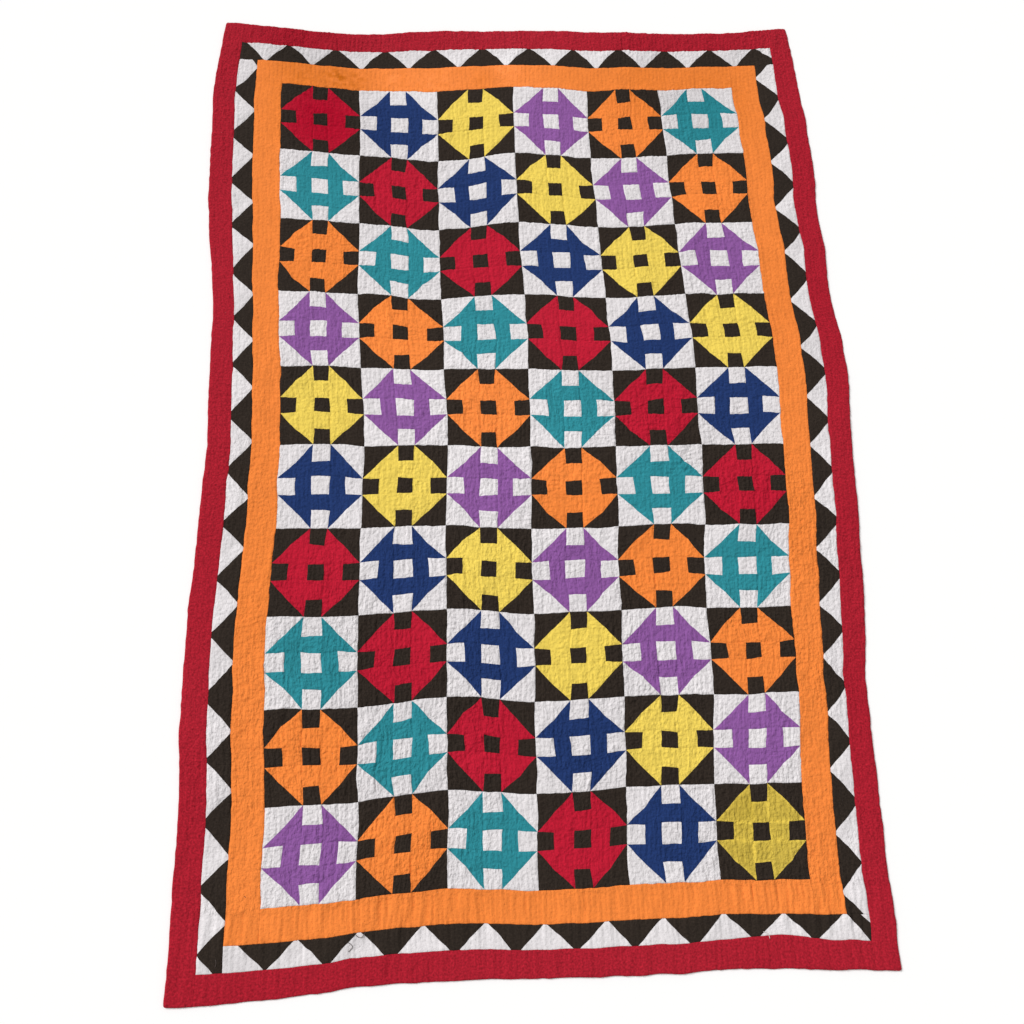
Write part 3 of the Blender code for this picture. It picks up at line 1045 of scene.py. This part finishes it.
def stitching_tree(cloths, material):
    """A node tree that drops each point onto the cloth and lays a stitch there, in the cloth's colour."""
    tree = bpy.data.node_groups.new("Running Stitches", "GeometryNodeTree")
    sockets = (("Geometry", "NodeSocketGeometry"), ("Cloths", "NodeSocketCollection"),
               ("Stitch Length", "NodeSocketFloat"), ("Thread Thickness", "NodeSocketFloat"))
    for name, kind in sockets:
        tree.interface.new_socket(name, in_out="INPUT", socket_type=kind)
    tree.interface.new_socket("Geometry", in_out="OUTPUT", socket_type="NodeSocketGeometry")
    given = tree.nodes.new("NodeGroupInput").outputs

    target = {"Collection": given["Cloths"]}
    target = add_node(tree, "GeometryNodeCollectionInfo", target, transform_space="RELATIVE")
    target = add_node(tree, "GeometryNodeRealizeInstances", {"Geometry": target.outputs["Instances"]})
    dye = add_node(tree, "GeometryNodeInputNamedAttribute", {"Name": "dye"}, data_type="FLOAT_COLOR")
    ray = {"Target Geometry": target.outputs["Geometry"], "Attribute": dye.outputs["Attribute"],
           "Ray Direction": (0.0, 0.0, -1.0), "Ray Length": 0.1}
    ray = add_node(tree, "GeometryNodeRaycast", ray, data_type="FLOAT_COLOR")

    # What the ray finds is stored before the points drop, as a ray from the cloth would find its back.
    points = given["Geometry"]
    finds = (("thread_dye", "Attribute", "FLOAT_COLOR"), ("slope", "Hit Normal", "FLOAT_VECTOR"))
    for name, found, kind in finds:
        kept = {"Geometry": points, "Name": name, "Value": ray.outputs[found]}
        kept = add_node(tree, "GeometryNodeStoreNamedAttribute", kept, data_type=kind, domain="POINT")
        points = kept.outputs["Geometry"]
    slope, way = (add_node(tree, "GeometryNodeInputNamedAttribute", {"Name": name}, data_type="FLOAT_VECTOR")
                  for name in ("slope", "way"))
    level = {"Vector": slope.outputs["Attribute"]}
    level = add_node(tree, "FunctionNodeAlignRotationToVector", level, axis="Z").outputs["Rotation"]
    turned = {"Rotation": level, "Vector": way.outputs["Attribute"]}
    turned = add_node(tree, "FunctionNodeAlignRotationToVector", turned, axis="X", pivot_axis="Z")
    turned = turned.outputs["Rotation"]
    dropped = {"Geometry": points, "Position": ray.outputs["Hit Position"]}
    dropped = add_node(tree, "GeometryNodeSetPosition", dropped).outputs["Geometry"]

    stitch = add_node(tree, "GeometryNodeMeshUVSphere", {"Segments": 4, "Rings": 2, "Radius": 0.5})
    smooth = add_node(tree, "GeometryNodeSetShadeSmooth", {"Geometry": stitch.outputs["Mesh"]})
    size = {"X": given["Stitch Length"], "Y": given["Thread Thickness"], "Z": given["Thread Thickness"]}
    size = add_node(tree, "ShaderNodeCombineXYZ", size).outputs["Vector"]
    laid = {"Points": dropped, "Instance": smooth.outputs["Geometry"], "Rotation": turned, "Scale": size}
    laid = add_node(tree, "GeometryNodeInstanceOnPoints", laid).outputs["Instances"]
    made = add_node(tree, "GeometryNodeRealizeInstances", {"Geometry": laid}).outputs["Geometry"]
    made = add_node(tree, "GeometryNodeSetMaterial", {"Geometry": made, "Material": material})
    add_node(tree, "NodeGroupOutput", {"Geometry": made.outputs["Geometry"]})
    return tree


def stitch_places(from_row, to_row, sizes):
    """Points above the middle of every stitch in some rows, with the way that each stitch runs."""
    everywhere = np.linspace(-EDGE, FIELD_WIDTH + EDGE, 8001)
    margin, above = 0.008, 0.05
    across, along = [], []
    for row in range(from_row, to_row):
        offset = (row * GOLDEN) % 1
        first = math.ceil((-EDGE + margin) / sizes.stitch_pitch + offset)
        last = math.floor((FIELD_LENGTH + EDGE - margin) / sizes.stitch_pitch + offset)
        places = (np.arange(first, last + 1) - offset) * sizes.stitch_pitch
        start = np.interp(row, ridge_number(everywhere), everywhere)
        across.append(row_on_cloth(row, np.full(len(places), start), places))
        along.append(places)
    across, along = np.concatenate(across), np.concatenate(along)
    x, y = lay(across, along, sizes.patch_skew)
    ahead = np.column_stack(lay(across, along + 0.002, sizes.patch_skew)) - np.column_stack((x, y))
    return np.column_stack((x, y, np.full(len(x), above))), np.column_stack((ahead, 0.0 * x))


def row_on_cloth(row, across, along):
    """Where a wandering row of stitches passes, found by steps towards where its number is whole."""
    longest_step, gentlest_slope = 0.003, 40
    for _ in range(6):
        slope = (wandering_rows(across + 1e-4, along) - wandering_rows(across - 1e-4, along)) / 2e-4
        step = (row - wandering_rows(across, along)) / np.maximum(slope, gentlest_slope)
        across = across + np.clip(step, -longest_step, longest_step)
    return across


class QUILT_OT_quilt_by_hand(bpy.types.Operator):
    """Sews rows of running stitches through the layers, from head to foot"""

    bl_idname = "quilt.quilt_by_hand"
    bl_label = "Quilt by Hand"

    def execute(self, context):
        sizes = context.scene.quilt_sizes
        cloths = bpy.data.collections.new("cloths")
        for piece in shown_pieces():
            cloths.objects.link(piece)
        tree = stitching_tree(cloths, quilting_thread())
        last_row = sum(strip.ridges for strip in STRIPS_ACROSS)
        halves = {"left": (1, last_row // 2), "right": (last_row // 2, last_row)}
        for half, rows in halves.items():
            self.sew_rows(f"quilting_stitches_{half}", rows, cloths, tree, sizes)
        bpy.data.collections.remove(cloths)
        return {"FINISHED"}

    def sew_rows(self, name, rows, cloths, tree, sizes):
        places, ways = stitch_places(*rows, sizes)
        points = bpy.data.meshes.new(name)
        points.vertices.add(len(places))
        points.vertices.foreach_set("co", places.ravel())
        points.attributes.new("way", "FLOAT_VECTOR", "POINT").data.foreach_set("vector", ways.ravel())
        row_points = bpy.data.objects.new(name, points)
        bpy.context.scene.collection.objects.link(row_points)
        sewing = row_points.modifiers.new("Running Stitches", "NODES")
        sewing.node_group = tree
        values = {"Cloths": cloths, "Stitch Length": sizes.stitch_length,
                  "Thread Thickness": sizes.thread_thickness}
        for item in tree.interface.items_tree:
            if item.name in values and item.in_out == "INPUT":
                sewing[item.identifier] = values[item.name]
        ready = row_points.evaluated_get(bpy.context.evaluated_depsgraph_get())
        sewn = bpy.data.meshes.new_from_object(ready)
        bpy.data.objects.remove(row_points)
        piece = bpy.data.objects.new(name, sewn)
        bpy.context.scene.collection.objects.link(piece)
        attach(piece, "root")


def loose_thread(curve, loose, sizes):
    """Adds one bent end of thread to a curve, lying on the cloth."""
    bends = np.linspace(0, 1, 17)
    weights = np.column_stack(((1 - bends) ** 2, 2 * bends * (1 - bends), bends**2))
    across = weights @ (loose.across, loose.over_across, loose.to_across) * BLOCK
    along = weights @ (loose.along, loose.over_along, loose.to_along) * BLOCK
    x, y = lay(across, along, sizes.patch_skew)
    z = height_of_top(across, along, from_rings(across, along), sizes) + sizes.loose_thickness
    spline = curve.splines.new("POLY")
    spline.points.add(len(bends) - 1)
    spline.points.foreach_set("co", np.column_stack((x, y, z, np.ones(len(x)))).ravel())


class QUILT_OT_leave_loose_threads(bpy.types.Operator):
    """Leaves a few ends of thread and lint on the quilt"""

    bl_idname = "quilt.leave_loose_threads"
    bl_label = "Leave Loose Threads"

    def execute(self, context):
        colours, sizes = context.scene.quilt_colours, context.scene.quilt_sizes
        for name, threads in (("pale", PALE_THREADS), ("grey", GREY_THREADS)):
            curve = bpy.data.curves.new(name, "CURVE")
            curve.dimensions = "3D"
            curve.bevel_depth = sizes.loose_thickness / 2
            curve.bevel_resolution = 1
            for loose in threads:
                loose_thread(curve, loose, sizes)
            drawn = bpy.data.objects.new(name, curve)
            context.scene.collection.objects.link(drawn)
            ready = drawn.evaluated_get(context.evaluated_depsgraph_get())
            data = bpy.data.meshes.new_from_object(ready)
            bpy.data.objects.remove(drawn)
            data.materials.clear()
            data.materials.append(matt_finish(f"{name} cotton lint", getattr(colours, f"{name}_thread")))
            piece = bpy.data.objects.new(f"loose_threads_{name}", data)
            context.scene.collection.objects.link(piece)
            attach(piece, "root")
        return {"FINISHED"}


def matt_finish(name, colour):
    """An even, dull finish with no weave, for seamless paper and for single fibres."""
    material = bpy.data.materials.new(name)
    material.use_nodes = True
    material.diffuse_color = (*colour, 1.0)
    shader = material.node_tree.nodes["Principled BSDF"]
    shader.inputs["Base Color"].default_value = (*colour, 1.0)
    shader.inputs["Roughness"].default_value = 0.95
    shader.inputs["Specular IOR Level"].default_value = 0.1
    return material


class QUILT_OT_set_stage(bpy.types.Operator):
    """Puts down the floor, the lights and the camera"""

    bl_idname = "quilt.set_stage"
    bl_label = "Set Stage"

    def execute(self, context):
        studio = context.scene.quilt_studio
        mesh = bmesh.new()
        bmesh.ops.create_grid(mesh, x_segments=1, y_segments=1, size=12.0)
        bmesh.ops.translate(mesh, vec=(0.0, 0.0, -0.0005), verts=mesh.verts)
        data = bpy.data.meshes.new("studio_floor")
        mesh.to_mesh(data)
        mesh.free()
        data.materials.append(matt_finish("pale studio paper", linear("F8F8F7")))
        floor = bpy.data.objects.new("studio_floor", data)
        context.scene.collection.objects.link(floor)
        floor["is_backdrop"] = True
        self.add_lights(context, studio)
        self.add_camera(context, studio)
        context.scene.view_settings.view_transform = "Standard"
        return {"FINISHED"}

    def add_lights(self, context, studio):
        world = bpy.data.worlds.new("studio")
        world.use_nodes = True
        context.scene.world = world
        sky = world.node_tree.nodes["Background"].inputs
        sky["Color"].default_value = (1.0, 1.0, 1.0, 1.0)
        sky["Strength"].default_value = studio.sky_light
        lamp = bpy.data.lights.new("window_light", "SUN")
        lamp.angle = math.radians(28)
        lamp.energy = studio.window_light
        window = bpy.data.objects.new("window_light", lamp)
        window.location = (-3.0, 2.2, 3.2)
        window.rotation_mode = "QUATERNION"
        window.rotation_quaternion = (-window.location).to_track_quat("-Z", "Y")
        context.scene.collection.objects.link(window)

    def add_camera(self, context, studio):
        aim = Vector((-0.0412, -0.1469, 0.0))
        lens = bpy.data.cameras.new("camera")
        lens.lens, lens.sensor_width = studio.lens, 36.0
        camera = bpy.data.objects.new("camera", lens)
        turned = Matrix.Rotation(studio.turn, 4, "Z") @ Matrix.Rotation(studio.tilt, 4, "X")
        back = Matrix.Translation((0.0, 0.0, studio.distance)) @ Matrix.Rotation(studio.roll, 4, "Z")
        camera.matrix_world = Matrix.Translation(aim) @ turned @ back
        context.scene.collection.objects.link(camera)
        context.scene.camera = camera


class QUILT_PT_panel(bpy.types.Panel):
    """Lists the quilt's colours, sizes and steps"""

    bl_idname = "QUILT_PT_panel"
    bl_label = "Ralli Quilt"
    bl_space_type = "VIEW_3D"
    bl_region_type = "UI"
    bl_category = "Quilt"

    def draw(self, context):
        for group in (context.scene.quilt_colours, context.scene.quilt_sizes, context.scene.quilt_studio):
            box = self.layout.box()
            for name in group.__annotations__:
                box.prop(group, name)
        for step in STEPS:
            self.layout.operator(step.bl_idname)


STEPS = (
    QUILT_OT_sew_blocks,
    QUILT_OT_sew_orange_border,
    QUILT_OT_sew_sawtooth_border,
    QUILT_OT_sew_red_border,
    QUILT_OT_quilt_by_hand,
    QUILT_OT_leave_loose_threads,
    QUILT_OT_set_stage,
)
CLASSES = (ClothColours, QuiltingSizes, StudioSettings, *STEPS, QUILT_PT_panel)


def register():
    for one in CLASSES:
        bpy.utils.register_class(one)
    bpy.types.Scene.quilt_colours = PointerProperty(type=ClothColours)
    bpy.types.Scene.quilt_sizes = PointerProperty(type=QuiltingSizes)
    bpy.types.Scene.quilt_studio = PointerProperty(type=StudioSettings)


def unregister():
    del bpy.types.Scene.quilt_studio
    del bpy.types.Scene.quilt_sizes
    del bpy.types.Scene.quilt_colours
    for one in reversed(CLASSES):
        bpy.utils.unregister_class(one)


def main():
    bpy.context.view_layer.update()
    register()
    for step in STEPS:
        group, name = step.bl_idname.split(".")
        getattr(getattr(bpy.ops, group), name)()


if __name__ == "__main__":
    main()
